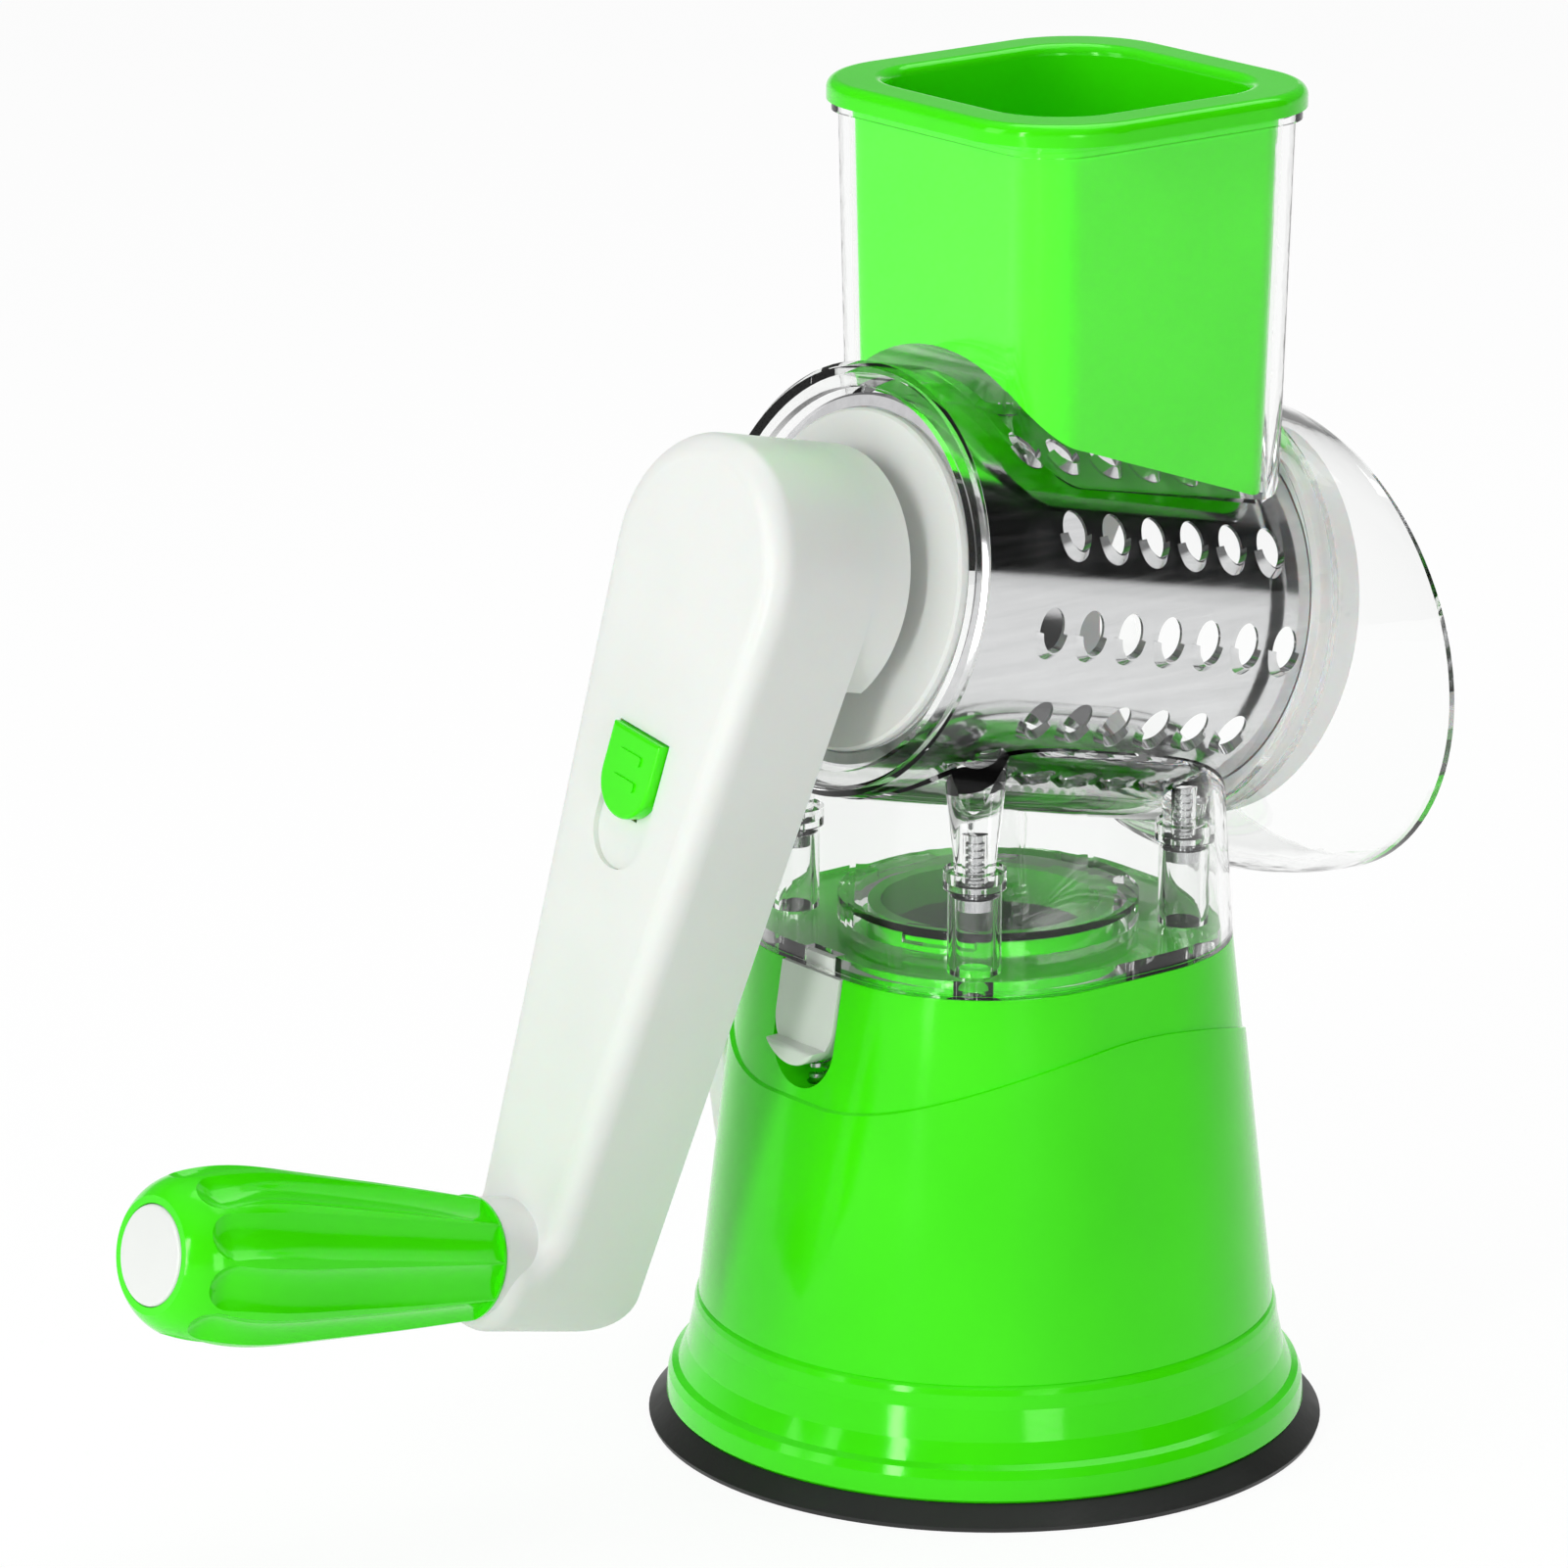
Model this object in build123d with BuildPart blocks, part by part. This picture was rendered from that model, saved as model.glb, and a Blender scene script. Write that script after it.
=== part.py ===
"""Rotary cabbage shredder: suction base, clear drum housing with hopper, perforated drum, crank.

Frame: origin on the table under the middle of the suction foot, +Z up, +X towards the outlet,
-X towards the crank. The drum axis lies in the XZ plane and falls towards the outlet.
Millimetres throughout.
"""
import os
from math import cos, pi, radians, sin, sqrt

from build123d import *

os.makedirs("parts", exist_ok=True)

# ------------------------------------------------------------------ driving dimensions
wall = 2.4                  # green base wall
clear_wall = 2.2            # clear plastic wall

cup_r = 62.5
seat_z = 4.2                # green flange sits on the rubber here
flange_r = 59.2
skirt_z = 24.5              # top of the stepped skirt
foot_r = 52.4               # cone radius above the skirt
deck_z = 94.15              # top of the green base
deck_half = 41.0            # rounded square at the top of the base
deck_corner = 32.0
swoosh = 0.6                # height of the wavy step
swoosh_low, swoosh_high = 69.5, 83.5

lever_z = 32.0              # suction lever axle height
eccentric = 4.0
lever_r = 3.0
run = 0.06                  # radial play of a shaft in its bore
dish_r = 60.0               # thumb dish of the lever

tab_half = 8.2              # release tab half width
tab_bottom, tab_top = 77.0, 94.0
tab_travel = 4.2
well_x = -39.2              # tab spring well
well_r = 2.4

post_x, post_y = 24.5, 25.5 # four columns under the housing
collar_z = 116.0
roof_v = -22.1              # flat roof of the dome, measured from the drum axis
roof_edge = 8.0             # its rounded edge
hub_r = 22.5                # bayonet hub

tilt = 12.9                 # drum axis slope
axis_z = 157.7              # drum axis height over the origin
drum_r = 33.5
sheet = 0.6
drum_s0, drum_s1 = -32.7, 50.7
housing_s0 = -35.75
housing_r0, housing_r1 = 38.9, 39.9
bore_r = 36.9               # housing bore
step_s = 49.0               # seat of the outlet ring
ring_r = 37.4
ring_s1 = 56.7
mouth = (72.3, 137.5)       # outlet mouth centre x, z
mouth_r = 45.45
mouth_tilt = 5.66

tube_x = 16.5               # hopper centre
tube_half = 32.0
tube_corner = 10.0
tube_z0, tube_z1 = 160.0, 245.6
tube_draft = 1.6            # half width lost from top to bottom
pusher_gap = 0.9
rim_z = 249.6
rim_half, rim_corner = 36.4, 20.0

crank_turn = 7.6            # crank angle from straight down
crank_len = 131.4           # drum axis to grip axis
arm_len = 132.6             # drum axis to the centre of the arm's round end
arm_r0, arm_r1 = 23.8, 12.0
arm_inside = 110.0          # length of the hollow and of its cover
heel = 11.0                 # round back of the lower end
foot_d = 122.0, 134.0       # the front face swells to the neck between these
neck_r = 11.0
arm_s0, arm_s1 = -70.5, -47.5
neck_s = -78.2
button_d0, button_d1 = 31.3, 47.0
button_half = 7.1
button_travel = 9.0
bar_d0, bar_d1 = 32.2, 37.6   # bar from the button to its slider
boss_half = 7.5             # square drive on the drum

grip_s0, grip_s1 = -147.7, -78.6
grip_stations = [(-147.7, 10.4), (-144.6, 13.2), (-137.5, 15.4), (-128.5, 16.1), (-116.5, 15.3),
                 (-95.0, 13.2), (-78.6, 11.3)]
cap_r = 8.9
flutes = 10

hole_rows = 12
hole_pitch = 9.38
hole_w, hole_h = 5.6, 7.8
lip_h = 1.3

# ------------------------------------------------------------------ reference planes
ct, st = cos(radians(tilt)), sin(radians(tilt))
drum = Plane(origin=(0, 0, axis_z), x_dir=(st, 0, ct), z_dir=(ct, 0, -st))
cc, cs = cos(radians(crank_turn)), sin(radians(crank_turn))
crank = Plane(origin=(0, 0, axis_z), x_dir=(-cc * st, cs, -cc * ct), z_dir=(ct, 0, -st))
side = Plane(origin=(0, 0, 0), x_dir=(1, 0, 0), z_dir=(0, -1, 0))


def squircle(z, half, corner, x=0.0):
    """Rounded square section at a height."""
    with BuildSketch(Plane.XY.offset(z)) as section:
        with Locations((x, 0)):
            RectangleRounded(2 * half, 2 * half, corner)
    return section.sketch


def rod(plane, s0, s1, r, mode=Mode.ADD, at=(0, 0)):
    """Cylinder between two stations along a plane's normal."""
    with BuildSketch(plane.offset(s0)) as section:
        with Locations(at):
            Circle(r)
    extrude(section.sketch, amount=s1 - s0, mode=mode)


def bar(plane, s0, s1, x0, x1, half, mode=Mode.ADD):
    """Rectangular bar, x0 to x1 by two half widths, between two stations."""
    with BuildSketch(plane.offset(s0)) as section:
        with Locations(((x0 + x1) / 2, 0)):
            Rectangle(x1 - x0, 2 * half)
    extrude(section.sketch, amount=s1 - s0, mode=mode)


def turned(points, plane=Plane.XZ):
    """Solid of revolution about Z from a radius and height outline."""
    with BuildSketch(plane) as section:
        with BuildLine():
            Polyline(*points, close=True)
        make_face()
    revolve(section.sketch, axis=Axis.Z)


def spun(points, mode=Mode.ADD):
    """Solid of revolution about the drum axis from station and radius outline."""
    frame = Plane(origin=drum.origin, x_dir=drum.z_dir, z_dir=drum.y_dir)
    with BuildSketch(frame) as section:
        with BuildLine():
            Polyline(*[(s, -r) for s, r in points], close=True)
        make_face()
    revolve(section.sketch, axis=Axis(drum.origin, drum.z_dir), mode=mode)


def cone_loft(grow=0.0):
    """Outer cone of the green base from skirt to deck."""
    return [squircle(skirt_z, foot_r + grow, foot_r + grow - 0.5),
            squircle(deck_z, deck_half + grow, deck_corner + grow)]


def u_outline(plane, s0, s1, half, low, high, mode=Mode.ADD):
    """Slot shape with a round lower end, local y up."""
    with BuildSketch(plane.offset(s0)) as section:
        with BuildLine():
            Polyline((-half, low + half), (-half, high), (half, high), (half, low + half))
            ThreePointArc((-half, low + half), (0, low), (half, low + half))
        make_face()
    extrude(section.sketch, amount=s1 - s0, mode=mode)


# ------------------------------------------------------------------ suction foot and its drive
with BuildPart() as suction_cup:
    turned([(0, 0), (43, 0), (45, 1.6), (51, 1.6), (53, 0), (62.2, 0), (cup_r, 0.9), (58.9, seat_z), (56.1, seat_z),
            (54.6, 9.0), (52.6, 9.0), (52.2, seat_z + 0.6), (44, 4.2), (13, 4.2), (10.5, 9.3), (0, 9.3)])

with BuildPart() as suction_stem:
    turned([(0, 9.3), (13, 9.3), (13, 11.0), (5.0, 11.8), (4, 12.6), (4, 24.2), (0, 24.2)])
    with BuildSketch(Plane.XY.offset(24.2)):
        RectangleRounded(22, 12, 2)
    extrude(amount=13.8)
    slot_z = lever_z - eccentric * sin(pi / 4)
    with BuildSketch(side):
        with Locations((-3.4, slot_z)):
            SlotOverall(11.4, 5.6)
    extrude(amount=10, both=True, mode=Mode.SUBTRACT)

axle_plane = Plane(origin=(0, 0, lever_z), x_dir=(1, 0, 0), z_dir=(0, 1, 0))
pin_at = (-eccentric * sin(pi / 4), eccentric * sin(pi / 4))
with BuildPart() as lever_axle:
    rod(axle_plane, 11.4, 63.0, lever_r)
    rod(axle_plane, 7.6, 11.4, 8.4)
    rod(axle_plane, -7.0, 7.6, 2.5, at=pin_at)
    rod(axle_plane, 50.0, 63.1, 1.6, mode=Mode.SUBTRACT)

with BuildPart() as lever_screw:
    rod(axle_plane, 51.0, 63.2, 1.5)
    rod(axle_plane, 63.2, 65.6, 3.6)
    rod(axle_plane, 64.4, 65.7, 1.3, mode=Mode.SUBTRACT)

with BuildPart() as suction_lever:
    with BuildSketch(axle_plane.offset(58.0)):
        Circle(12)
        with Locations((0, -30)):
            Circle(16.5)
        make_hull()
    extrude(amount=8.5)
    fillet(suction_lever.faces().sort_by(Axis.Y)[-1].edges(), 2.6)
    fillet(suction_lever.faces().sort_by(Axis.Y)[0].edges(), 1.2)
    with Locations((0, 66.5 + dish_r - 1.3, lever_z + 29)):
        Sphere(dish_r, mode=Mode.SUBTRACT)
    rod(axle_plane, 54.2, 58.6, 6.8)
    rod(axle_plane, 63.1, 67.0, 4.4, mode=Mode.SUBTRACT)
    rod(axle_plane, 54.0, 63.2, lever_r, mode=Mode.SUBTRACT)

bolt_circle = [(31, 31), (-31, 31), (31, -31), (-31, -31)]
with BuildPart() as guide_plate:
    rod(Plane.XY, 18.6, 21.0, 49.6)
    rod(Plane.XY, 21.0, 23.6, 7.0)
    with BuildSketch(Plane.XY.offset(21.0)):
        with Locations((0, 17.5), (0, 36.0)):
            Rectangle(16, 6)
    extrude(amount=18.5)
    rod(Plane.XY, 18.0, 24.0, 4 + run, mode=Mode.SUBTRACT)
    rod(axle_plane, 10.0, 42.0, lever_r + run, mode=Mode.SUBTRACT)
    with BuildSketch(Plane.XY.offset(18.0)):
        with Locations(*bolt_circle):
            Circle(1.9)
        with PolarLocations(25, 6, start_angle=30):
            Circle(6.5)
    extrude(amount=4, mode=Mode.SUBTRACT)

with BuildPart() as guide_plate_screws:
    for spot in bolt_circle:
        rod(Plane.XY, 16.2, 18.6, 3.4, at=spot)
        rod(Plane.XY, 18.6, 33.0, 1.5, at=spot)
    with BuildSketch(Plane.XY.offset(16.0)):
        with Locations(*bolt_circle):
            Rectangle(3.6, 0.8)
            Rectangle(0.8, 3.6)
    extrude(amount=1.4, mode=Mode.SUBTRACT)

# ------------------------------------------------------------------ green base
cross = Plane(origin=(0, 0, 0), x_dir=(0, 1, 0), z_dir=(1, 0, 0))
with BuildPart() as cone_body:
    loft(sections=cone_loft())

with BuildPart() as raised_part:
    loft(sections=cone_loft(swoosh))
    rise = swoosh_high - swoosh_low
    arc_r = (46.5 ** 2 + rise ** 2) / (2 * rise)
    arc_end = swoosh_high - arc_r + sqrt(arc_r ** 2 - 58 ** 2)
    with BuildSketch(side):
        with BuildLine():
            ThreePointArc((-58, arc_end), (0, swoosh_high), (58, arc_end))
            Polyline((58, arc_end), (58, 0), (-58, 0), (-58, arc_end))
        make_face()
    extrude(amount=70, both=True, mode=Mode.INTERSECT)

with BuildPart() as inner_fittings:
    u_outline(cross, -60, -34.2, tab_half + 2.4, 69.8, deck_z)
    rod(Plane.XY, 60.8, 76.0, well_r + 1.7, at=(well_x, 0))
    for spot in bolt_circle:
        rod(Plane.XY, 21.2, 70.0, 4.2, at=spot)
    rod(Plane.XZ, -54, -44.5, 6.4, at=(0, lever_z))
    loft(sections=cone_loft(), mode=Mode.INTERSECT)

with BuildPart() as base_shell:
    add(cone_body.part)
    add(raised_part.part)
    loft(sections=[squircle(skirt_z, foot_r - wall, foot_r - wall - 0.5),
                   squircle(deck_z - wall, deck_half + 0.3 - wall, deck_corner + 0.3 - wall)],
         mode=Mode.SUBTRACT)
    add(inner_fittings.part)
    turned([(56.5, seat_z), (flange_r - 0.6, seat_z), (flange_r, seat_z + 0.6), (58.9, 8.6), (58.2, 10.2),
            (57.0, 10.9), (55.4, 14.5), (54.2, 20.2), (53.9, 22.8), (53.5, 23.8),
            (foot_r + swoosh - 0.2, skirt_z), (foot_r - wall, skirt_z), (foot_r - wall, 21.2), (51.4, 17.0),
            (54.4, 10.6)])
    for spot in bolt_circle:
        rod(Plane.XY, 21.0, 26.0, 4.2, at=spot)
    rod(Plane.XZ, -53.8, -49.5, 7.4, at=(0, lever_z))
    rod(Plane.XZ, -56, -40, lever_r + run, at=(0, lever_z), mode=Mode.SUBTRACT)
    u_outline(cross, -60, -36.0, tab_half + 0.4, tab_bottom - tab_travel - 0.4, deck_z + 2, mode=Mode.SUBTRACT)
    with BuildSketch(cross.offset(-36.6)):
        with Locations((0, 83.6)):
            Rectangle(5.0, 10.6)
    extrude(amount=4, mode=Mode.SUBTRACT)
    rod(Plane.XY, 62.4, 76.0, well_r, at=(well_x, 0), mode=Mode.SUBTRACT)
    for spot in bolt_circle:
        rod(Plane.XY, 20, 36, 1.55, at=spot, mode=Mode.SUBTRACT)
    rod(Plane.XY, deck_z - 0.2, 98.4, hub_r)
    rod(Plane.XY, deck_z - wall - 1, 99, hub_r - 2.6, mode=Mode.SUBTRACT)
    with BuildSketch(Plane.XY.offset(96.9)):
        with PolarLocations(0, 3, start_angle=90):
            with BuildLine():
                CenterArc((0, 0), 24.6, -20, 40)
                CenterArc((0, 0), hub_r - 1.0, -20, 40)
                for turn in (-20, 20):
                    Line(((hub_r - 1.0) * cos(radians(turn)), (hub_r - 1.0) * sin(radians(turn))),
                         (24.6 * cos(radians(turn)), 24.6 * sin(radians(turn))))
            make_face()
    extrude(amount=1.5)

with BuildPart() as thumb_lip:
    u_outline(cross, -46.9, -43.0, tab_half, tab_bottom, tab_top)
    with BuildSketch(Plane.XY.offset(tab_bottom - 1)):
        Rectangle(120, 40)
    extrude(amount=4.6, mode=Mode.INTERSECT)
    fillet(thumb_lip.faces().sort_by(Axis.X)[0].edges(), 0.8)

with BuildPart() as release_tab:
    u_outline(cross, -60, -36.8, tab_half, tab_bottom, tab_top)
    loft(sections=cone_loft(0.5), mode=Mode.INTERSECT)
    add(thumb_lip.part)
    with BuildSketch(cross.offset(-38.5)):
        with Locations((0, 95.0)):
            Rectangle(8, 3.0)
    extrude(amount=1.6)
    with BuildSketch(cross.offset(-37.2)):
        with Locations((0, 86.4)):
            Rectangle(4.4, 3.4)
    extrude(amount=3.8)
    with BuildSketch(cross.offset(-33.6)):
        with Locations((0, 86.4)):
            Rectangle(9.4, 5.4)
    extrude(amount=1.8)

with BuildPart() as release_tab_spring:
    with BuildLine() as tab_coil:
        Helix(pitch=2.0, height=13.75, radius=well_r - 0.6, center=(well_x, 0, 62.8))
    with BuildSketch(Plane(origin=tab_coil.line @ 0, z_dir=tab_coil.line % 0)):
        Rectangle(0.7, 0.7)
    sweep(is_frenet=True)

# ------------------------------------------------------------------ clear floor plate and screws
posts = [(post_x, post_y), (-post_x, post_y), (post_x, -post_y), (-post_x, -post_y)]
with BuildPart() as floor_plate:
    floor_half = deck_half - clear_wall - 0.25
    loft(sections=[squircle(deck_z + 0.1, floor_half, deck_corner - clear_wall - 0.25),
                   squircle(97.0, floor_half - 0.15, deck_corner - clear_wall - 0.4)])
    rod(Plane.XY, 96.5, 101.4, 27.0)
    rod(Plane.XY, 94.0, 99.4, 25.0, mode=Mode.SUBTRACT)
    with BuildSketch(Plane.XY.offset(deck_z + 0.1)):
        with PolarLocations(0, 3, start_angle=90):
            with BuildLine():
                CenterArc((0, 0), 25.2, -24, 48)
                CenterArc((0, 0), 23.0, -24, 48)
                for turn in (-24, 24):
                    Line((23.0 * cos(radians(turn)), 23.0 * sin(radians(turn))),
                         (25.2 * cos(radians(turn)), 25.2 * sin(radians(turn))))
            make_face()
    extrude(amount=2.2)
    with BuildSketch(Plane.XY.offset(98.0)):
        with PolarLocations(26, 3, start_angle=90):
            Rectangle(6, 14)
    extrude(amount=1.6, mode=Mode.SUBTRACT)
    for spot in posts:
        rod(Plane.XY, 96.5, 113.0, 4.8, at=spot)
        rod(Plane.XY, 112.6, collar_z, 5.6, at=spot)
    for spot in posts:
        rod(Plane.XY, 94.0, 110.9, 3.4, at=spot, mode=Mode.SUBTRACT)
        rod(Plane.XY, 110.0, 114.0, 1.8, at=spot, mode=Mode.SUBTRACT)
        rod(Plane.XY, 113.4, 116.2, 3.75, at=spot, mode=Mode.SUBTRACT)
    with BuildSketch(Plane.XY.offset(94.0)):
        with Locations((-38.6, 0)):
            Rectangle(4.8, 8.8)
    extrude(amount=4, mode=Mode.SUBTRACT)

with BuildPart() as body_screws:
    for spot in posts:
        rod(Plane.XY, 108.7, 110.9, 3.1, at=spot)
        rod(Plane.XY, 110.9, 122.6, 1.25, at=spot)
        for turn in range(7):
            rod(Plane.XY, 112.6 + 1.35 * turn, 113.1 + 1.35 * turn, 1.7, at=spot)
    with BuildSketch(Plane.XY.offset(108.5)):
        with Locations(*posts):
            Rectangle(3.4, 0.8)
            Rectangle(0.8, 3.4)
    extrude(amount=1.3, mode=Mode.SUBTRACT)

# ------------------------------------------------------------------ clear body


def tube_section(z, inset=0.0):
    """Hopper section at a height, with the moulding draft."""
    half = tube_half - tube_draft * (tube_z1 - z) / (tube_z1 - tube_z0) - inset
    return squircle(z, half, tube_corner - inset, x=tube_x)


def bell_section(share, inset=0.0):
    """Outlet section from the housing (0) to the tilted mouth (1)."""
    start = drum.offset(42).origin
    end = Vector(mouth[0], 0, mouth[1])
    r = housing_r1 + (mouth_r - housing_r1) * (share * 1.9 if share < 0.5 else 0.5 + share * 0.5) - inset
    lean = radians(tilt * (1 - share) - mouth_tilt * share)
    origin = start + (end - start) * share - Vector(0, 0, 1.6 * sin(pi * share))
    frame = Plane(origin=origin, x_dir=(sin(lean), 0, cos(lean)), z_dir=(cos(lean), 0, -sin(lean)))
    with BuildSketch(frame) as section:
        Circle(r)
    return section.sketch


def dome_form(z0, inset):
    """Dome under the housing, its roof parallel to the drum axis."""
    roof = Plane(origin=drum.origin + drum.x_dir * (roof_v - inset), z_dir=drum.x_dir)
    with BuildPart() as form:
        loft(sections=[squircle(z0, deck_half - inset, deck_corner - inset),
                       squircle(152.0, deck_half - 3.7 - inset, deck_corner - 3.1 - inset)])
        split(bisect_by=roof, keep=Keep.BOTTOM)
        fillet(form.faces().sort_by(Axis(drum.origin, drum.x_dir))[-1].edges(), roof_edge - inset)
    return form.part


with BuildPart() as dome:
    add(dome_form(deck_z + 0.1, 0))
    add(dome_form(deck_z, clear_wall), mode=Mode.SUBTRACT)

with BuildPart() as body_shell:
    add(dome.part)
    for spot in posts:
        with BuildSketch(Plane.XY.offset(113.4)):
            with Locations(spot):
                Circle(3.4)
        extrude(amount=26.0, taper=-6)
    spun([(housing_s0, 0), (housing_s0, housing_r0 - 1), (housing_s0 + 1, housing_r0), (52, housing_r1), (52, 0)])
    loft(sections=[bell_section(0), bell_section(0.45), bell_section(1)])
    loft(sections=[tube_section(tube_z0), tube_section(tube_z1)])
    loft(sections=[squircle(tube_z1 - 2.0, tube_half + 1.2, tube_corner + 1.2, x=tube_x),
                   squircle(tube_z1, tube_half + 1.2, tube_corner + 1.2, x=tube_x)])
    spun([(housing_s0 - 1, 0), (housing_s0 - 1, 34.4), (-33.4, 34.4), (-33.4, bore_r), (step_s, bore_r),
          (step_s, ring_r + 0.4), (54, ring_r + 0.4), (54, 0)], mode=Mode.SUBTRACT)
    loft(sections=[bell_section(0.0, 2.1), bell_section(0.45, clear_wall), bell_section(1, clear_wall)],
         mode=Mode.SUBTRACT)
    spun([(40, bore_r), (40, 39.0), (step_s, 39.0), (step_s, bore_r)])
    loft(sections=[tube_section(tube_z0, clear_wall), tube_section(tube_z1 + 0.1, clear_wall)],
         mode=Mode.SUBTRACT)
    for spot in posts:
        rod(Plane.XY, 113.0, 122.8, 1.75, at=spot, mode=Mode.SUBTRACT)

# ------------------------------------------------------------------ pusher
slope = radians(19.8)
apex = Vector(46, 0, 184.0)
bow_r = 40.0
bow = Plane(origin=apex - Vector(sin(slope), 0, cos(slope)) * bow_r, x_dir=(sin(slope), 0, cos(slope)),
            z_dir=(cos(slope), 0, -sin(slope)))
push_half = tube_half - clear_wall - pusher_gap
with BuildPart() as pusher_inside:
    loft(sections=[squircle(166, push_half - 3.5, 5.6, x=tube_x),
                   squircle(rim_z + 1, push_half - 1.8, 14.0, x=tube_x)])
    rod(bow, -110, 40, bow_r + 2.0, mode=Mode.SUBTRACT)

with BuildPart() as pusher:
    loft(sections=[squircle(166, push_half - 1.5, 7.4, x=tube_x), squircle(tube_z1 + 1.5, push_half, 7.4, x=tube_x)])
    with BuildSketch(Plane.XY.offset(tube_z1 + 0.2)):
        with Locations((tube_x, 0)):
            RectangleRounded(2 * rim_half, 2 * rim_half, rim_corner)
    extrude(amount=rim_z - tube_z1 - 0.2)
    fillet(pusher.faces().sort_by(Axis.Z)[-1].edges(), 1.9)
    rod(bow, -110, 40, bow_r, mode=Mode.SUBTRACT)
    add(pusher_inside.part, mode=Mode.SUBTRACT)
    rim_edge = pusher.faces().sort_by(Axis.Z)[-1].inner_wires()[0].edges()
    fillet(rim_edge, 1.9)

# ------------------------------------------------------------------ drum
def radial(angle, s):
    """Frame on the drum surface direction: z outward, x down round the barrel, y along the axis."""
    turn = radians(angle)
    out = drum.x_dir * sin(turn) + drum.y_dir * cos(turn)
    around = drum.x_dir * cos(turn) - drum.y_dir * sin(turn)
    return Plane(origin=drum.offset(s).origin, x_dir=around * -1, z_dir=out).location


with BuildPart() as lip:
    with BuildSketch(Plane.XY.offset(drum_r - 0.3)):
        Ellipse(hole_h / 2 + 1.5, hole_w / 2 + 1.1)
    extrude(amount=lip_h + 0.3, taper=38)
    with BuildSketch(Plane.XY.offset(drum_r - 1)):
        Ellipse(hole_h / 2, hole_w / 2)
    extrude(amount=6, mode=Mode.SUBTRACT)
    with BuildSketch(Plane.XY.offset(drum_r - 1)):
        with Locations((-4.4, 0)):
            Rectangle(10, 14)
    extrude(amount=6, mode=Mode.SUBTRACT)

holes = []
for row in range(hole_rows):
    angle = 28.5 + row * 30
    count, first = (6, -9.8) if row % 2 == 0 else (7, -14.6)
    holes += [(angle, first + hole_pitch * k) for k in range(count)]
spots = [radial(angle, s) for angle, s in holes]

with BuildPart() as punch:
    with BuildSketch(Plane.XY.offset(drum_r - 3)):
        Ellipse(hole_h / 2, hole_w / 2)
    extrude(amount=6)

with BuildPart() as drum_barrel:
    spun([(drum_s0, 31.0), (drum_s0, drum_r - 0.5), (drum_s0 + 0.5, drum_r), (drum_s1, drum_r),
          (drum_s1, drum_r - sheet), (drum_s0 + sheet, drum_r - sheet), (drum_s0 + sheet, 31.0)])
    with Locations(*spots):
        add(lip.part)
    with Locations(*spots):
        add(punch.part, mode=Mode.SUBTRACT)

with BuildPart() as drum_hub:
    spun([(-34.5, 0), (-34.5, 30.1), (-34.0, 30.6), (-31.95, 30.6), (-31.95, 32.7), (-29.6, 32.7), (-29.6, 30.2),
          (-31.4, 28.6), (-31.4, 11.0), (-22.0, 7.5), (-22.0, 0)])
    spun([(-34.4, 0), (-34.4, 12.5), (-35.4, 11.5), (-38.6, 11.5), (-38.6, 0)])
    with BuildSketch(crank.offset(-34.5)):
        RectangleRounded(2 * boss_half, 2 * boss_half, 2.0)
    extrude(amount=-26.0)
    with BuildSketch(crank.offset(-46.3)):
        Rectangle(40, 40)
        Rectangle(10.8, 10.8, mode=Mode.SUBTRACT)
    extrude(amount=3.4, mode=Mode.SUBTRACT)

with BuildPart() as drum_outlet_ring:
    spun([(46.8, drum_r + 0.2), (46.8, 36.5), (49.4, 36.5), (49.4, ring_r - 0.4), (49.8, ring_r),
          (ring_s1 - 0.8, ring_r),
          (ring_s1, ring_r - 0.8), (ring_s1, 33.0), (ring_s1 - 0.6, 32.4), (drum_s1 + 0.2, 32.4),
          (drum_s1 + 0.2, drum_r + 0.2)])

# ------------------------------------------------------------------ crank
flank = Plane(origin=crank.origin, x_dir=crank.x_dir, z_dir=crank.y_dir * -1)
face = Plane(origin=crank.origin, x_dir=crank.y_dir, z_dir=crank.z_dir)
screw_spots = [(-15.5, 0), (68, 0), (104, 0)]


def arm_outline(s0, s1, inset=0.0, reach=arm_len, mode=Mode.ADD):
    """Tapered arm outline between two stations."""
    shrink = (arm_r0 - arm_r1) * reach / arm_len
    with BuildSketch(crank.offset(s0)) as section:
        Circle(arm_r0 - inset)
        with Locations((reach, 0)):
            Circle(arm_r0 - shrink - inset)
        make_hull()
    extrude(section.sketch, amount=s1 - s0, mode=mode)


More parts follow.
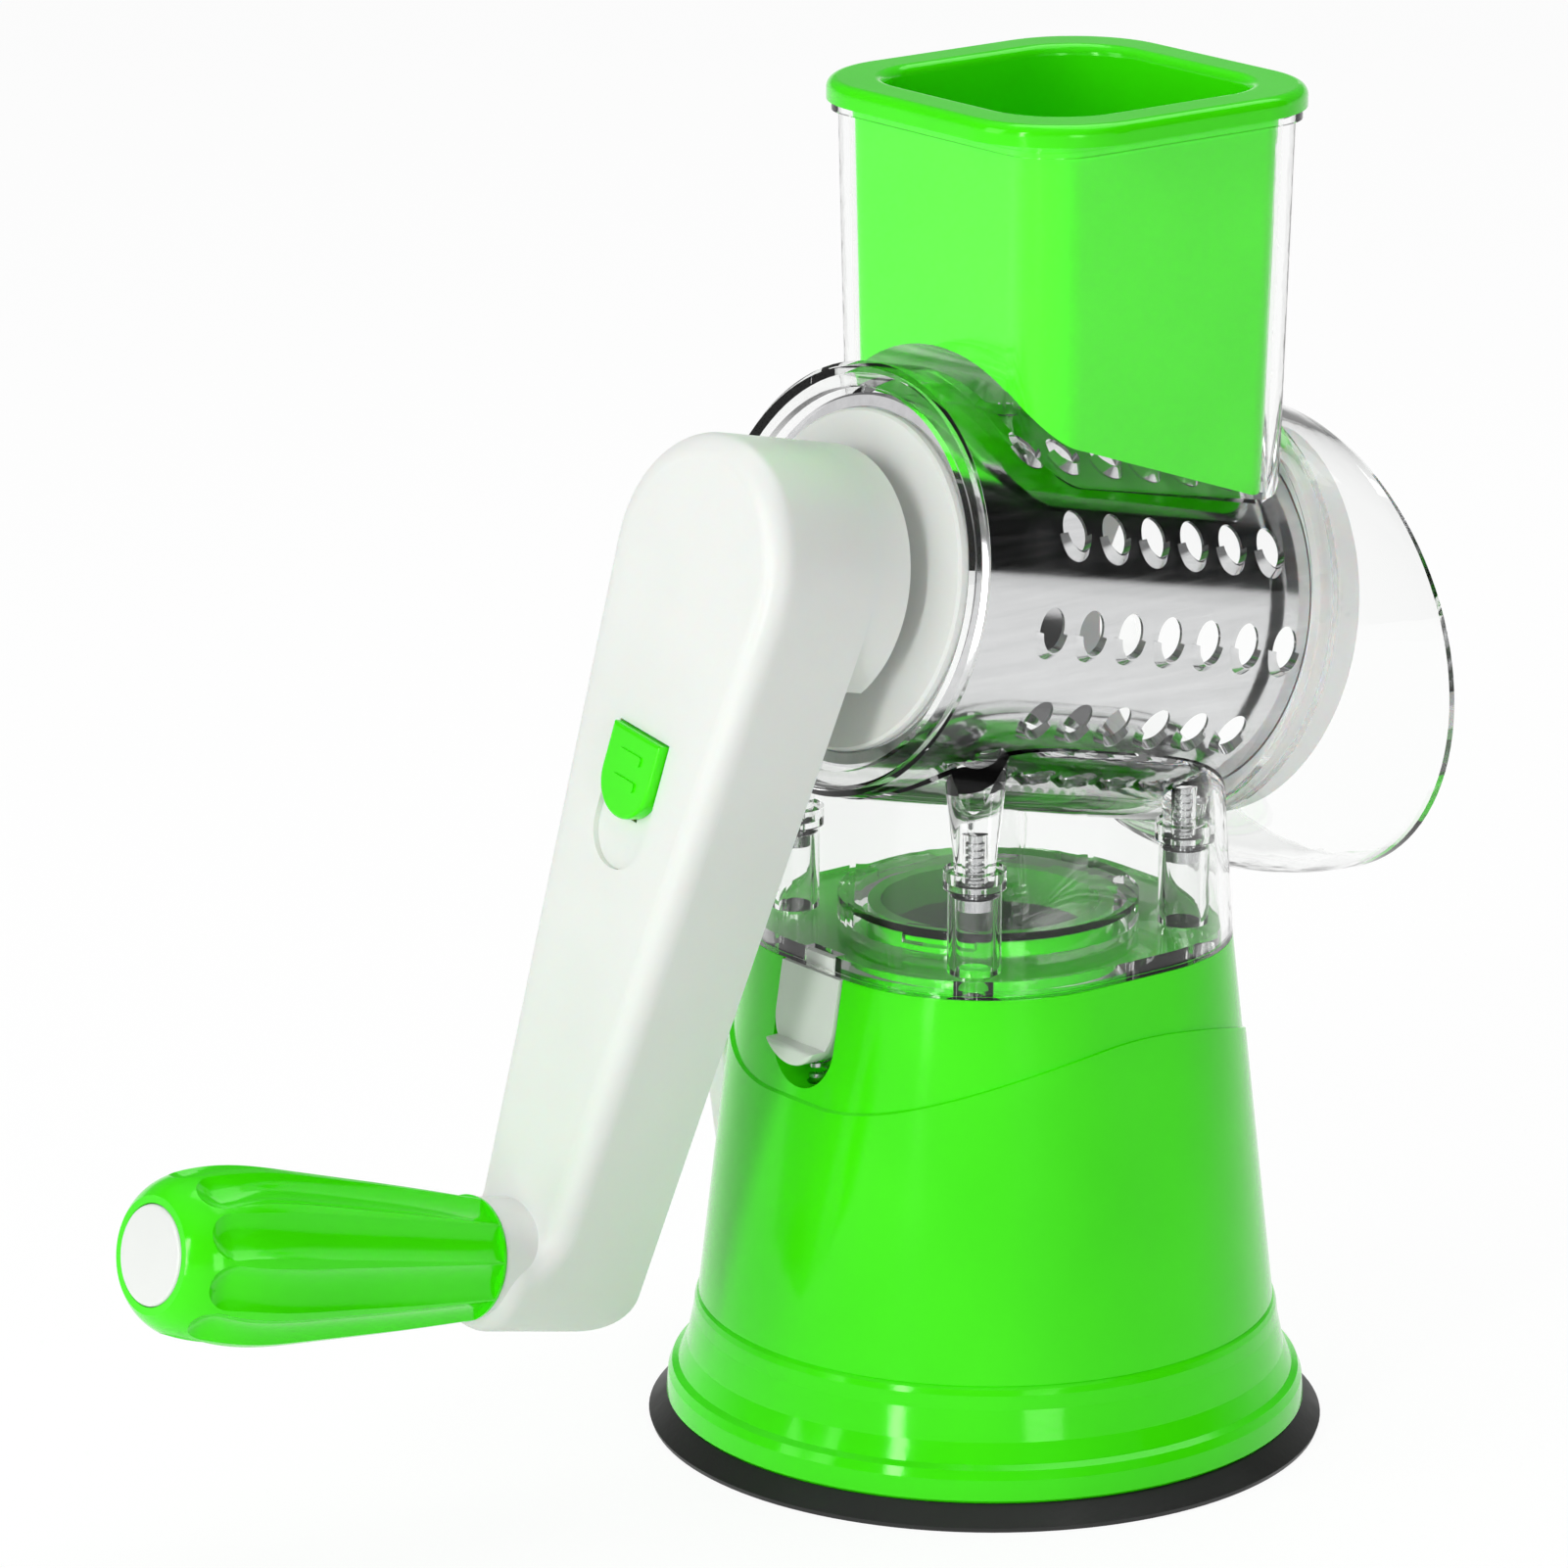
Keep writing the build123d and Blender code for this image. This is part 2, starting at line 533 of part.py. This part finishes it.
with BuildPart() as crank_arm:
    arm_outline(neck_s, arm_s1)
    end = arm_len + arm_r1
    middle = (sum(foot_d) / 2, (arm_s0 + neck_s) / 2)
    with BuildSketch(flank):
        with BuildLine():
            Polyline((end - heel, arm_s1), (-arm_r0 - 1, arm_s1), (-arm_r0 - 1, arm_s0), (foot_d[0], arm_s0))
            TangentArc((foot_d[0], arm_s0), middle, tangent=(1, 0))
            TangentArc((foot_d[1], neck_s), middle, tangent=(-1, 0))
            Polyline((foot_d[1], neck_s), (end, neck_s), (end, arm_s1 - heel))
            ThreePointArc((end, arm_s1 - heel),
                          (end - heel + heel * sin(pi / 4), arm_s1 - heel + heel * sin(pi / 4)),
                          (end - heel, arm_s1))
        make_face()
    extrude(amount=30, both=True, mode=Mode.INTERSECT)
    flats = crank_arm.faces().filter_by(crank).sort_by(Axis(drum.origin, drum.z_dir))
    fillet(flats[1].edges(), 4.4)
    rod(crank, neck_s, arm_s0 + 2, neck_r, at=(crank_len, 0))
    arm_outline(arm_s0 + 2.4, arm_s1 + 0.1, inset=2.3, reach=arm_inside, mode=Mode.SUBTRACT)
    bar(crank, arm_s0 + 1, -50.0, -10.6, 10.6, 10.6)
    for spot in screw_spots:
        rod(crank, arm_s0 + 1, -50.0, 3.7, at=spot)
    bar(crank, arm_s0 + 1, -52.6, 61.0, 63.0, 5.0)
    bar(crank, -61.5, -49.9, -boss_half - 0.2, boss_half + 0.2, boss_half + 0.2, mode=Mode.SUBTRACT)
    for spot in screw_spots:
        rod(crank, -63.0, -49.9, 1.3, at=spot, mode=Mode.SUBTRACT)
    u_outline(face, arm_s0 - 1, arm_s0 + 1.1, button_half + 0.3, -button_d1 - button_travel - 0.4,
              -button_d0 + 0.3, mode=Mode.SUBTRACT)
    bar(crank, arm_s0 - 1, arm_s0 + 3, bar_d0 - 0.4, bar_d1 + button_travel + 0.4, 2.8, mode=Mode.SUBTRACT)
    rod(crank, neck_s - 1, arm_s1, 3.05, at=(crank_len, 0), mode=Mode.SUBTRACT)
    rod(crank, -60.0, arm_s1 + 1, 7.0, at=(crank_len, 0), mode=Mode.SUBTRACT)

with BuildPart() as crank_back_cover:
    arm_outline(-49.8, arm_s1, inset=2.5, reach=arm_inside)
    rod(crank, arm_s1, -40.0, arm_r0)
    rod(crank, arm_s1, -39.9, arm_r0 - 2.3, mode=Mode.SUBTRACT)
    with BuildSketch(crank.offset(arm_s1)):
        with Locations((15.5 + 20, 0)):
            Rectangle(40, 60)
    extrude(amount=8, mode=Mode.SUBTRACT)
    bar(crank, -50, -40, -boss_half - 0.2, boss_half + 0.2, boss_half + 0.2, mode=Mode.SUBTRACT)
    bar(crank, -50, -47, 15.6, 30.8, 5.4, mode=Mode.SUBTRACT)
    for spot in screw_spots:
        rod(crank, -50, -47, 1.6, at=spot, mode=Mode.SUBTRACT)
        rod(crank, -48.9, -47, 3.5, at=spot, mode=Mode.SUBTRACT)

with BuildPart() as crank_screws:
    for spot in screw_spots:
        rod(crank, -48.9, -47.6, 3.2, at=spot)
        rod(crank, -60.0, -48.9, 1.25, at=spot)
    with BuildSketch(crank.offset(-48.3)):
        with Locations(*screw_spots):
            Rectangle(3.4, 0.8)
            Rectangle(0.8, 3.4)
    extrude(amount=2, mode=Mode.SUBTRACT)

with BuildPart() as slide_button:
    u_outline(face, -72.3, arm_s0 + 1.0, button_half, -button_d1, -button_d0)
    fillet(slide_button.faces().sort_by(Axis(drum.origin, drum.z_dir))[0].edges(), 0.7)
    with BuildSketch(face.offset(-72.7)):
        with Locations((0, -35.8), (0, -40.6)):
            RectangleRounded(6.4, 1.8, 0.5)
    extrude(amount=1)
    bar(crank, -69.8, -52.3, bar_d0, bar_d1, 2.5)

with BuildPart() as latch_slider:
    bar(crank, -54.3, -52.3, 16.0, 47.0, 6.0)
    bar(crank, -54.4, -52.2, bar_d0 - 0.1, bar_d1 + 0.1, 2.6, mode=Mode.SUBTRACT)
    bar(crank, -59.4, -52.3, 44.8, 47.0, 3.4)
    bar(crank, -52.4, -44.0, 16.0, 21.2, 5.0)
    rod(crank, -47.1, -40.5, arm_r0 - 1.5)
    with BuildSketch(crank.offset(-47.2)):
        with Locations((15.8 - 30, 0)):
            Rectangle(60, 60)
    extrude(amount=7, mode=Mode.SUBTRACT)
    bar(crank, -45.5, -43.6, -17.6, 16.2, 10.4)
    bar(crank, -45.6, -43.5, -17.2 - 0.1, -0.8, 8.0, mode=Mode.SUBTRACT)
    bar(crank, -45.6, -43.5, -1.0, 6.2, 5.8, mode=Mode.SUBTRACT)

coil_foot = crank.offset(-56.2).origin + crank.x_dir * 47.5
with BuildPart() as latch_spring:
    with BuildLine() as latch_coil:
        Helix(pitch=2.17, height=13.1, radius=2.2, center=coil_foot, direction=crank.x_dir)
    with BuildSketch(Plane(origin=latch_coil.line @ 0, z_dir=latch_coil.line % 0)):
        Rectangle(0.7, 0.7)
    sweep(is_frenet=True)

# ------------------------------------------------------------------ grip
handle = Plane(origin=crank.origin + crank.x_dir * crank_len, x_dir=crank.x_dir, z_dir=crank.z_dir)
with BuildPart() as flute:
    cutter = 6.8
    line = [(r * 0.88 + cutter, s) for s, r in [(-141.0, 14.5)] + grip_stations[2:]]
    with BuildLine(Plane(origin=handle.origin, x_dir=handle.x_dir, z_dir=handle.y_dir * -1)) as track:
        Spline(*line)
    with BuildSketch(Plane(origin=track.line @ 0, z_dir=track.line % 0)):
        Circle(cutter)
    sweep()
    with Locations(track.line @ 0):
        Sphere(cutter)

with BuildPart() as grip:
    with BuildSketch(Plane(origin=handle.origin, x_dir=handle.x_dir, z_dir=handle.y_dir * -1)):
        with BuildLine():
            Spline(*[(r, s) for s, r in grip_stations])
            Polyline((grip_stations[-1][1], grip_s1), (0, grip_s1), (0, grip_s0), (grip_stations[0][1], grip_s0))
        make_face()
    revolve(axis=Axis(handle.origin, handle.z_dir))
    for k in range(flutes):
        add(flute.part.rotate(Axis(handle.origin, handle.z_dir), 360 / flutes * (k + 0.5)), mode=Mode.SUBTRACT)
    rod(handle, grip_s0 - 1, grip_s1 + 1, lever_r + run, mode=Mode.SUBTRACT)
    rod(handle, grip_s0 - 1, -139.2, 6.7, mode=Mode.SUBTRACT)
    rod(handle, grip_s0 - 1, -146.0, cap_r + 0.15, mode=Mode.SUBTRACT)

with BuildPart() as grip_cap:
    rod(handle, -148.1, -146.1, cap_r)
    rod(handle, -146.2, -143.6, 6.6)
    rod(handle, -146.0, -143.5, 5.4, mode=Mode.SUBTRACT)
    fillet(grip_cap.faces().sort_by(Axis(drum.origin, drum.z_dir))[0].edges(), 0.6)

with BuildPart() as grip_axle:
    rod(handle, -60.0, -56.4, 6.6)
    rod(handle, -139.3, -59.9, lever_r)
    rod(handle, -139.4, -127.0, 1.9, mode=Mode.SUBTRACT)

with BuildPart() as grip_screw:
    rod(handle, -142.0, -139.6, 5.4)
    rod(handle, -139.7, -128.0, 1.8)
    rod(handle, -142.1, -140.6, 1.8, mode=Mode.SUBTRACT)

# ------------------------------------------------------------------ files
for name, piece in (
    ("suction_cup", suction_cup), ("suction_stem", suction_stem), ("lever_axle", lever_axle),
    ("lever_screw", lever_screw), ("suction_lever", suction_lever), ("guide_plate", guide_plate),
    ("guide_plate_screws", guide_plate_screws), ("base_shell", base_shell), ("release_tab", release_tab),
    ("release_tab_spring", release_tab_spring), ("floor_plate", floor_plate), ("body_screws", body_screws),
    ("body_shell", body_shell), ("pusher", pusher), ("drum_barrel", drum_barrel), ("drum_hub", drum_hub),
    ("drum_outlet_ring", drum_outlet_ring), ("crank_arm", crank_arm), ("crank_back_cover", crank_back_cover),
    ("crank_screws", crank_screws), ("slide_button", slide_button), ("latch_slider", latch_slider),
    ("latch_spring", latch_spring), ("grip", grip), ("grip_cap", grip_cap), ("grip_axle", grip_axle),
    ("grip_screw", grip_screw),
):
    piece.part.label = name
    export_step(piece.part, f"parts/{name}.step")
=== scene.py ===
import math

import bpy
from mathutils import Matrix, Vector


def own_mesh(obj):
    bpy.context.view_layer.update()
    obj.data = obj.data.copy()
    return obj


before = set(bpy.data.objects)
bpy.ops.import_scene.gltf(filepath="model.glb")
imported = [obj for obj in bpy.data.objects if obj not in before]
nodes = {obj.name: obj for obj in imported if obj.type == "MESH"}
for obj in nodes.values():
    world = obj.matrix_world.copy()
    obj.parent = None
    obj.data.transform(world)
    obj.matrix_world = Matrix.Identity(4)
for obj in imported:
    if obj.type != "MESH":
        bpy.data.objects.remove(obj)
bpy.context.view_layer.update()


# ------------------------------------------------------------------ materials
def new_material(name):
    """Empty node material and its node tree."""
    material = bpy.data.materials.new(name)
    material.use_nodes = True
    material.node_tree.nodes.clear()
    return material, material.node_tree


def noise(tree, scale, detail=3.0, rough=0.5, stretch=None):
    """Noise in object space, in metres; stretch squeezes one axis for brushed marks."""
    coords = tree.nodes.new("ShaderNodeTexCoord")
    texture = tree.nodes.new("ShaderNodeTexNoise")
    texture.inputs["Scale"].default_value = scale
    texture.inputs["Detail"].default_value = detail
    texture.inputs["Roughness"].default_value = rough
    if stretch:
        mapping = tree.nodes.new("ShaderNodeMapping")
        mapping.inputs["Scale"].default_value = stretch
        tree.links.new(coords.outputs["Object"], mapping.inputs["Vector"])
        tree.links.new(mapping.outputs["Vector"], texture.inputs["Vector"])
    else:
        tree.links.new(coords.outputs["Object"], texture.inputs["Vector"])
    return texture.outputs["Fac"]


def spread(tree, source, low, high):
    """Noise value mapped to a range."""
    node = tree.nodes.new("ShaderNodeMapRange")
    node.inputs["From Min"].default_value = 0.3
    node.inputs["From Max"].default_value = 0.7
    node.inputs["To Min"].default_value = low
    node.inputs["To Max"].default_value = high
    tree.links.new(source, node.inputs["Value"])
    return node.outputs["Result"]


def tint(tree, source, dark, light):
    """Two colours mixed by a noise value."""
    ramp = tree.nodes.new("ShaderNodeValToRGB")
    ramp.color_ramp.elements[0].position = 0.35
    ramp.color_ramp.elements[0].color = (*dark, 1)
    ramp.color_ramp.elements[1].position = 0.65
    ramp.color_ramp.elements[1].color = (*light, 1)
    tree.links.new(source, ramp.inputs["Fac"])
    return ramp.outputs["Color"]


def bump(tree, source, strength, distance):
    """Normal from a height value, distance in metres."""
    node = tree.nodes.new("ShaderNodeBump")
    node.inputs["Strength"].default_value = strength
    node.inputs["Distance"].default_value = distance
    tree.links.new(source, node.inputs["Height"])
    return node.outputs["Normal"]


def finish_with(material, tree, shader):
    """Shader joined to the material's output."""
    out = tree.nodes.new("ShaderNodeOutputMaterial")
    tree.links.new(shader, out.inputs["Surface"])
    return material


def moulded(name, dark, light, rough, coat=0.0, grain=0.06, sub=0.0, sheen=None):
    """Injection moulded plastic: slight colour drift, uneven gloss, fine orange peel."""
    material, tree = new_material(name)
    shader = tree.nodes.new("ShaderNodeBsdfPrincipled")
    shader.inputs["IOR"].default_value = 1.5
    shader.inputs["Coat Weight"].default_value = coat
    shader.inputs["Coat Roughness"].default_value = 0.05
    if sheen:
        shader.inputs["Specular Tint"].default_value = (*sheen, 1)
    if sub:
        shader.inputs["Subsurface Weight"].default_value = sub
        shader.inputs["Subsurface Scale"].default_value = 0.002
    tree.links.new(tint(tree, noise(tree, 22.0, 2.0), dark, light), shader.inputs["Base Color"])
    tree.links.new(spread(tree, noise(tree, 60.0, 4.0), rough * 0.8, rough * 1.25), shader.inputs["Roughness"])
    tree.links.new(bump(tree, noise(tree, 900.0, 2.0), grain, 0.0002), shader.inputs["Normal"])
    return finish_with(material, tree, shader.outputs["BSDF"])


def metal(name, dark, light, rough, stretch, scale=400.0, grain=0.05):
    """Bright metal with drawn marks along one direction."""
    material, tree = new_material(name)
    shader = tree.nodes.new("ShaderNodeBsdfPrincipled")
    shader.inputs["Metallic"].default_value = 1.0
    marks = noise(tree, scale, 5.0, 0.6, stretch)
    tree.links.new(tint(tree, marks, dark, light), shader.inputs["Base Color"])
    tree.links.new(spread(tree, marks, rough * 0.7, rough * 1.4), shader.inputs["Roughness"])
    tree.links.new(bump(tree, marks, grain, 0.0001), shader.inputs["Normal"])
    return finish_with(material, tree, shader.outputs["BSDF"])


def clear(name, colour, rough=0.015):
    """Clear moulded plastic that lets lamp light straight through to what is inside."""
    material, tree = new_material(name)
    shader = tree.nodes.new("ShaderNodeBsdfPrincipled")
    shader.inputs["Transmission Weight"].default_value = 1.0
    shader.inputs["IOR"].default_value = 1.30
    shader.inputs["Base Color"].default_value = (*colour, 1)
    tree.links.new(spread(tree, noise(tree, 35.0, 3.0), rough * 0.4, rough * 1.8), shader.inputs["Roughness"])
    tree.links.new(bump(tree, noise(tree, 55.0, 1.5), 0.05, 0.001), shader.inputs["Normal"])
    through = tree.nodes.new("ShaderNodeBsdfTransparent")
    through.inputs["Color"].default_value = (0.955, 0.96, 0.955, 1)
    path = tree.nodes.new("ShaderNodeLightPath")
    mix = tree.nodes.new("ShaderNodeMixShader")
    tree.links.new(path.outputs["Is Shadow Ray"], mix.inputs["Fac"])
    tree.links.new(shader.outputs["BSDF"], mix.inputs[1])
    tree.links.new(through.outputs["BSDF"], mix.inputs[2])
    return finish_with(material, tree, mix.outputs["Shader"])


green = moulded("green_moulded", (0.050, 0.84, 0.0015), (0.060, 0.92, 0.003), 0.11,
                 sheen=(0.55, 1.0, 0.45))
white = moulded("white_moulded", (0.80, 0.825, 0.79), (0.84, 0.86, 0.83), 0.36, grain=0.10, sub=0.15)
white_gloss = moulded("white_gloss_moulded", (0.78, 0.80, 0.775), (0.82, 0.84, 0.81), 0.22, coat=0.2)
milky = moulded("milky_moulded", (0.72, 0.73, 0.72), (0.78, 0.79, 0.78), 0.30, sub=0.4)
rubber = moulded("rubber_moulded", (0.003, 0.004, 0.003), (0.007, 0.008, 0.006), 0.45, grain=0.18)
crystal = clear("crystal_moulded", (0.985, 0.99, 0.985))
sheet_steel = metal("sheet_steel", (0.66, 0.66, 0.67), (0.74, 0.74, 0.75), 0.12, (0.04, 1.0, 1.0))
zinc = metal("zinc_steel", (0.45, 0.45, 0.46), (0.62, 0.62, 0.63), 0.22, (1.0, 1.0, 0.2), 900.0)

finish = {
    "suction_cup": rubber, "suction_stem": white, "lever_axle": zinc, "lever_screw": zinc,
    "suction_lever": white, "guide_plate": white, "guide_plate_screws": zinc, "base_shell": green,
    "release_tab": white_gloss, "release_tab_spring": zinc, "floor_plate": crystal, "body_screws": zinc,
    "body_shell": crystal, "pusher": green, "drum_barrel": sheet_steel, "drum_hub": white,
    "drum_outlet_ring": milky, "crank_arm": white, "crank_back_cover": white, "crank_screws": zinc,
    "slide_button": green, "latch_slider": white, "latch_spring": zinc, "grip": green,
    "grip_cap": white_gloss, "grip_axle": zinc, "grip_screw": zinc,
}
for name, material in finish.items():
    node = nodes[name]
    node.data.materials.clear()
    node.data.materials.append(material)


# ------------------------------------------------------------------ springs
def press(name):
    """Spring gets a mesh of its own, not shared with other objects."""
    spring = nodes[name]
    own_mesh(spring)


press("release_tab_spring")
press("latch_spring")


# ------------------------------------------------------------------ studio
view_azimuth = math.radians(39.84)  # the camera stands this far round from -Y towards -X


def round_the_part(turn, distance, height):
    """Place in the studio; turn is degrees to the right of the camera as seen from the part."""
    angle = view_azimuth - math.radians(turn)
    return Vector((-math.sin(angle) * distance, -math.cos(angle) * distance, height))


def plane_object(name, size, place, material):
    """Square sheet that belongs to the studio, not to the part."""
    mesh = bpy.data.meshes.new(name)
    half = size / 2
    mesh.from_pydata([(-half, -half, 0), (half, -half, 0), (half, half, 0), (-half, half, 0)], [], [(0, 1, 2, 3)])
    thing = bpy.data.objects.new(name, mesh)
    thing.location = place
    thing.data.materials.append(material)
    bpy.context.scene.collection.objects.link(thing)
    return thing


def floor_material():
    """White table: plain white to eye, metal and plastic alike, with the shadow kept."""
    material, tree = new_material("table_white")
    surface = tree.nodes.new("ShaderNodeBsdfPrincipled")
    surface.inputs["Roughness"].default_value = 0.6
    paint = tint(tree, noise(tree, 2.0), (0.80, 0.80, 0.80), (0.84, 0.84, 0.84))
    tree.links.new(paint, surface.inputs["Base Color"])
    glow = tree.nodes.new("ShaderNodeEmission")
    glow.inputs["Strength"].default_value = 1.04
    path = tree.nodes.new("ShaderNodeLightPath")
    seen = tree.nodes.new("ShaderNodeMath")
    seen.operation = "MAXIMUM"
    tree.links.new(path.outputs["Is Camera Ray"], seen.inputs[0])
    also = tree.nodes.new("ShaderNodeMath")
    also.operation = "MAXIMUM"
    tree.links.new(path.outputs["Is Glossy Ray"], also.inputs[0])
    tree.links.new(path.outputs["Is Transmission Ray"], also.inputs[1])
    tree.links.new(also.outputs["Value"], seen.inputs[1])
    share = tree.nodes.new("ShaderNodeMath")
    share.operation = "MULTIPLY"
    share.inputs[1].default_value = 0.88
    tree.links.new(seen.outputs["Value"], share.inputs[0])
    mix = tree.nodes.new("ShaderNodeMixShader")
    tree.links.new(share.outputs["Value"], mix.inputs["Fac"])
    tree.links.new(surface.outputs["BSDF"], mix.inputs[1])
    tree.links.new(glow.outputs["Emission"], mix.inputs[2])
    return finish_with(material, tree, mix.outputs["Shader"])


plane_object("table", 30.0, (0, 0, 0), floor_material())

world = bpy.data.worlds.new("studio")
bpy.context.scene.world = world
world.use_nodes = True
tree = world.node_tree
tree.nodes.clear()
direction = tree.nodes.new("ShaderNodeTexCoord")
split = tree.nodes.new("ShaderNodeSeparateXYZ")
tree.links.new(direction.outputs["Generated"], split.inputs["Vector"])
ramp = tree.nodes.new("ShaderNodeValToRGB")
tree.links.new(split.outputs["Z"], ramp.inputs["Fac"])
stops = ramp.color_ramp.elements
stops[0].position, stops[0].color = 0.0, (0.85, 0.85, 0.85, 1)
stops[1].position, stops[1].color = 1.0, (0.75, 0.75, 0.76, 1)
# height of the direction and grey level: bright horizon, dim walls, bright ceiling
for place, level in ((0.08, 0.80), (0.2, 0.22), (0.62, 0.16), (0.85, 0.55)):
    stop = stops.new(place)
    stop.color = (level, level, level, 1)
backdrop = tree.nodes.new("ShaderNodeBackground")
tree.links.new(ramp.outputs["Color"], backdrop.inputs["Color"])
plain = tree.nodes.new("ShaderNodeBackground")
path = tree.nodes.new("ShaderNodeLightPath")
mix = tree.nodes.new("ShaderNodeMixShader")
tree.links.new(path.outputs["Is Camera Ray"], mix.inputs["Fac"])
tree.links.new(backdrop.outputs["Background"], mix.inputs[1])
tree.links.new(plain.outputs["Background"], mix.inputs[2])
out = tree.nodes.new("ShaderNodeOutputWorld")
tree.links.new(mix.outputs["Shader"], out.inputs["Surface"])


def lamp(name, turn, distance, height, width, tall, power, aim=0.13):
    """Softbox that faces the part at the height aim."""
    data = bpy.data.lights.new(name, "AREA")
    data.shape = "RECTANGLE"
    data.size, data.size_y = width, tall
    data.energy = power
    light = bpy.data.objects.new(name, data)
    light.location = round_the_part(turn, distance, height)
    light.rotation_euler = (Vector((0, 0, aim)) - light.location).to_track_quat("-Z", "Y").to_euler()
    bpy.context.scene.collection.objects.link(light)
    return light


lamp("strip_left", -32, 1.3, 0.40, 0.13, 0.95, 6.0)
lamp("window_left", -66, 1.3, 0.60, 0.5, 0.9, 4.0)
lamp("window_right", 22, 1.4, 0.30, 0.35, 0.5, 2.5)
lamp("overhead", 150, 0.5, 1.4, 1.2, 1.2, 9.0)


def flag_material():
    """Black cloth."""
    material, tree = new_material("flag_black")
    cloth = tree.nodes.new("ShaderNodeBsdfDiffuse")
    cloth.inputs["Color"].default_value = (0.01, 0.01, 0.01, 1)
    return finish_with(material, tree, cloth.outputs["BSDF"])


# black flag that the steel drum's upper half mirrors
flag = plane_object("flag", 1.1, round_the_part(84, 1.1, 0.78), flag_material())
flag.rotation_euler = (Vector((0, 0, 0.15)) - flag.location).to_track_quat("Z", "Y").to_euler()

# ------------------------------------------------------------------ camera, fitted to the photo
sensor_mm = 36.0
focal_px = 7907.0
photo_px = 1601.0
data = bpy.data.cameras.new("camera")
data.sensor_width = sensor_mm
data.sensor_fit = "HORIZONTAL"
data.lens = focal_px / photo_px * sensor_mm
data.clip_end = 100
camera = bpy.data.objects.new("camera", data)
forward = Vector((0.59436025, 0.75371191, -0.28045365))
right = Vector((0.78541016, -0.61897482, 0.0010265))
up = Vector((0.17282006, 0.22088126, 0.95986702))
place = Vector((-0.86765847, -1.03980396, 0.51680459))
camera.matrix_world = Matrix.Translation(place) @ Matrix((right, up, -forward)).transposed().to_4x4()
bpy.context.scene.collection.objects.link(camera)
bpy.context.scene.camera = camera
bpy.context.scene.view_settings.view_transform = "Standard"
